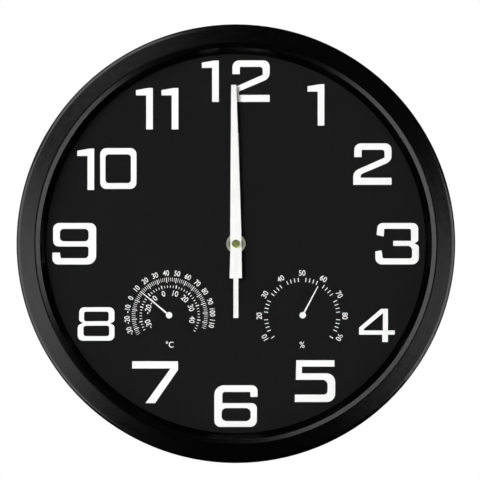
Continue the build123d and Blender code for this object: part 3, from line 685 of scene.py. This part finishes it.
def cut_mesh(mesh, tool_mesh):
    """The mesh with the tool taken away from it."""
    item = new_object("blank", mesh)
    tool = new_object("tool", tool_mesh)
    cut = item.modifiers.new("cut", "BOOLEAN")
    cut.operation = "DIFFERENCE"
    cut.object = tool
    result = evaluated_mesh(item)
    bpy.data.objects.remove(tool)
    return result


def screw_mesh():
    """A pan-head screw, its axis along Z and the underside of its head at zero."""
    tip = screws_low.y - screws_high.y + screw_head_height
    outline = [(0, tip), (screw_shank_radius, tip + screw_shank_radius), (screw_shank_radius, 0)]
    for out, up in screw_head_profile:
        outline.append((screw_head_radius * out, screw_head_height * up))
    return cut_mesh(turned_mesh(outline), cross_mesh())


def make_screws(material):
    """The screws through the back plate, each left at its own turn."""
    circle = (screws_high.x - screw_head_radius) / cos(radians(screw_first_angle))
    meshes = []
    for number in range(screw_count):
        angle = radians(screw_first_angle + number * 360 / screw_count)
        seat = Vector((circle * cos(angle), screws_high.y - screw_head_height, circle * sin(angle)))
        mesh = screw_mesh()
        facing_wall = Matrix.Rotation(-pi / 2, 4, "X")
        slew = Matrix.Rotation(radians(number * screw_slew), 4, "Z")
        mesh.transform(Matrix.Translation(seat) @ facing_wall @ slew)
        meshes.append(mesh)
    screws = make_piece("screws", joined(meshes), material, "case")
    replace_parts(screws, "case_screws")


def make_battery(sleeve_material, metal):
    """A round cell: a plain sleeve, shrunk over a metal can's crimped edges, and the can's bare ends."""
    radius = (battery_high.z - battery_low.z) / 2
    length = battery_high.x - battery_low.x - nub_length
    middle = (battery_low + battery_high) / 2
    start = Vector((battery_low.x, middle.y, middle.z))
    lying = Matrix.Translation(start) @ Matrix.Rotation(pi / 2, 4, "Y")
    sleeve = [
        (radius - crimp_width, crimp_depth),
        (radius - crimp_width, 0),
        (radius - edge_round, 0),
        (radius, edge_round),
        (radius, length - edge_round),
        (radius - edge_round, length),
        (radius - crimp_width, length),
        (radius - crimp_width, length - crimp_depth),
    ]
    can = [
        (0, crimp_depth),
        (radius - edge_round, crimp_depth),
        (radius - edge_round, length - crimp_depth),
        (nub_radius + crimp_width, length - crimp_depth),
        (nub_radius + edge_round, length - edge_round),
        (nub_radius, length),
        (nub_radius, length + nub_length - edge_round),
        (nub_radius - edge_round, length + nub_length),
        (0, length + nub_length),
    ]
    for name, outline, material, slot in (("battery_sleeve", sleeve, sleeve_material, "cell_label"),
                                          ("battery_can", can, metal, "zinc_steel")):
        mesh = turned_mesh(outline)
        mesh.transform(lying)
        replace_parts(make_piece(name, mesh, material, "cell"), "battery")


def stroke_mesh(points):
    """A raised line through points on the back of the movement's housing, each (right, up)."""
    curve = bpy.data.curves.new("stroke", "CURVE")
    curve.dimensions = "3D"
    curve.bevel_depth = mark_radius
    curve.bevel_resolution = stroke_steps
    curve.use_fill_caps = True
    spline = curve.splines.new("POLY")
    spline.points.add(len(points) - 1)
    for point, (x, z) in zip(spline.points, points):
        point.co = (x, housing_back, z, 1)
    return curve_mesh(curve)


def make_setting_marks(material):
    """A double arrow round the setting knob, and the signs of the cell's poles over its bay."""
    knob = (knob_low + knob_high) / 2
    reach = (knob_high.x - knob_low.x) / 2 + arrow_gap
    first, last = arrow_sweep
    arc = []
    for angle in range(first, last + 1, arrow_step):
        turn = radians(angle)
        arc.append((knob.x + reach * sin(turn), knob.z + reach * cos(turn)))
    strokes = [arc]
    for (x, z), angle in ((arc[0], first + 90), (arc[-1], last - 90)):
        for side in (-arrow_barb_angle, arrow_barb_angle):
            turn = radians(angle + side)
            strokes.append([(x, z), (x + mark_reach * sin(turn), z + mark_reach * cos(turn))])
    sign_x = battery_high.x * sign_place_share
    sign_z = battery_high.z + 2 * mark_reach
    for x in (-sign_x, sign_x):
        strokes.append([(x - mark_reach, sign_z), (x + mark_reach, sign_z)])
    strokes.append([(sign_x, sign_z - mark_reach), (sign_x, sign_z + mark_reach)])
    meshes = [stroke_mesh(points) for points in strokes]
    make_piece("housing_marks", joined(meshes), material, "case")


# Studio


def make_camera():
    camera = bpy.data.cameras.new("camera")
    camera.sensor_fit = "HORIZONTAL"
    half_width = photo_pixels * rim_pixel / 2
    camera.angle = 2 * atan(half_width / (camera_distance + rim_plane))
    item = new_object("camera", camera)
    item.location = (camera_x, -camera_distance, camera_z)
    item.rotation_euler = (pi / 2, 0, 0)
    bpy.context.scene.camera = item


def soft_box(name, distance, brightness, compass, lean, width, height):
    """A lamp the size of a soft box, aimed at the clock and standing across the line to it."""
    around = radians(compass)
    off = radians(lean)
    away = Vector((sin(off) * sin(around), -cos(off), sin(off) * cos(around)))
    across = Vector((cos(around), 0, -sin(around)))
    lamp = bpy.data.lights.new(name, "AREA")
    lamp.shape = "RECTANGLE"
    lamp.size = width
    lamp.size_y = height
    lamp.energy = brightness * pi * width * height
    item = new_object(name, lamp)
    turn = Matrix((across, away.cross(across), away)).transposed()
    item.matrix_world = Matrix.Translation(away * distance) @ turn.to_4x4()
    item.visible_camera = False
    return item


def light_path(tree, *names):
    """A number that is 1 for rays of any of these kinds."""
    path = tree.nodes.new("ShaderNodeLightPath")
    result = path.outputs[names[0]]
    for name in names[1:]:
        either = tree.nodes.new("ShaderNodeMath")
        either.operation = "MAXIMUM"
        tree.links.new(result, either.inputs[0])
        tree.links.new(path.outputs[name], either.inputs[1])
        result = either.outputs["Value"]
    return result


def make_world():
    """White to the camera, white behind the clock in its gloss and glass, and dark in front of it."""
    world = bpy.data.worlds.new("studio")
    bpy.context.scene.world = world
    world.use_nodes = True
    tree = world.node_tree
    nodes = tree.nodes
    ambient = nodes["Background"]
    ambient.inputs["Color"].default_value = (1, 1, 1, 1)
    ambient.inputs["Strength"].default_value = ambient_level
    place = nodes.new("ShaderNodeTexCoord")
    axes = nodes.new("ShaderNodeSeparateXYZ")
    fade = nodes.new("ShaderNodeMapRange")
    fade.inputs["From Min"].default_value = backdrop_start_share
    fade.inputs["From Max"].default_value = backdrop_full_share
    mirrored = nodes.new("ShaderNodeBackground")
    seen = nodes.new("ShaderNodeBackground")
    seen.inputs["Color"].default_value = (1, 1, 1, 1)
    inner_mix = nodes.new("ShaderNodeMixShader")
    outer_mix = nodes.new("ShaderNodeMixShader")
    tree.links.new(place.outputs["Generated"], axes.inputs["Vector"])
    tree.links.new(axes.outputs["Y"], fade.inputs["Value"])
    tree.links.new(fade.outputs["Result"], mirrored.inputs["Strength"])
    tree.links.new(light_path(tree, "Is Glossy Ray", "Is Transmission Ray"), inner_mix.inputs["Fac"])
    tree.links.new(ambient.outputs["Background"], inner_mix.inputs[1])
    tree.links.new(mirrored.outputs["Background"], inner_mix.inputs[2])
    tree.links.new(light_path(tree, "Is Camera Ray"), outer_mix.inputs["Fac"])
    tree.links.new(inner_mix.outputs["Shader"], outer_mix.inputs[1])
    tree.links.new(seen.outputs["Background"], outer_mix.inputs[2])
    tree.links.new(outer_mix.outputs["Shader"], nodes["World Output"].inputs["Surface"])


def make_floor():
    """A pale round floor, white to the camera where no shadow falls."""
    work = bmesh.new()
    bmesh.ops.create_circle(work, cap_ends=True, radius=floor_radius, segments=floor_steps)
    mesh = finished_mesh(work, "floor")
    floor = new_object("floor", mesh)
    floor.location.z = floor_height
    floor.visible_glossy = False
    material, tree, shader = new_material("floor_paint")
    shader.inputs["Base Color"].default_value = (floor_grey, floor_grey, floor_grey, 1)
    shader.inputs["Roughness"].default_value = floor_roughness
    glow = tree.nodes.new("ShaderNodeEmission")
    glow.inputs["Strength"].default_value = floor_glow
    share = tree.nodes.new("ShaderNodeMath")
    share.operation = "MULTIPLY"
    share.inputs[1].default_value = floor_white_share
    mix = tree.nodes.new("ShaderNodeMixShader")
    tree.links.new(light_path(tree, "Is Camera Ray", "Is Transmission Ray"), share.inputs[0])
    tree.links.new(share.outputs["Value"], mix.inputs["Fac"])
    tree.links.new(shader.outputs["BSDF"], mix.inputs[1])
    tree.links.new(glow.outputs["Emission"], mix.inputs[2])
    tree.links.new(mix.outputs["Shader"], tree.nodes["Material Output"].inputs["Surface"])
    mesh.materials.append(material)


def all_but(node):
    """A collection that leaves one CAD node out of a lamp's light or shadow."""
    group = bpy.data.collections.new("all_but_" + node)
    group.objects.link(frame["nodes"][node])
    group.collection_objects[0].light_linking.link_state = "EXCLUDE"
    return group


def make_studio():
    """The camera, the backdrop and the lamps.

    The lens mirrors none of the boxes, and the key throws no shadow of the second hand, because the
    photograph shows neither.
    """
    bpy.context.scene.view_settings.view_transform = "Standard"
    make_camera()
    make_world()
    make_floor()
    mirrors = all_but("lens")
    for name, places in gloss_boxes.items():
        box = soft_box(name, gloss_distance, gloss_brightness, *places)
        box.visible_diffuse = False
        box.light_linking.receiver_collection = mirrors
    key = soft_box("key_box", key_distance, key_brightness, *key_box)
    key.light_linking.blocker_collection = all_but("second_hand")
    rear = soft_box("rear_box", key_distance, rear_brightness, *rear_box)
    for lamp in (key, rear):
        lamp.visible_glossy = False
        lamp.visible_transmission = False


make_studio()
finishes = make_finishes()
dress_cad_nodes(finishes)
make_screws(finishes["zinc_steel"])
make_battery(finishes["cell_label"], finishes["zinc_steel"])
make_setting_marks(finishes["movement_plastic"])
ink = white_ink()
print_numerals(ink)
print_thermometer_scales(ink)
print_hygrometer_scale(ink)
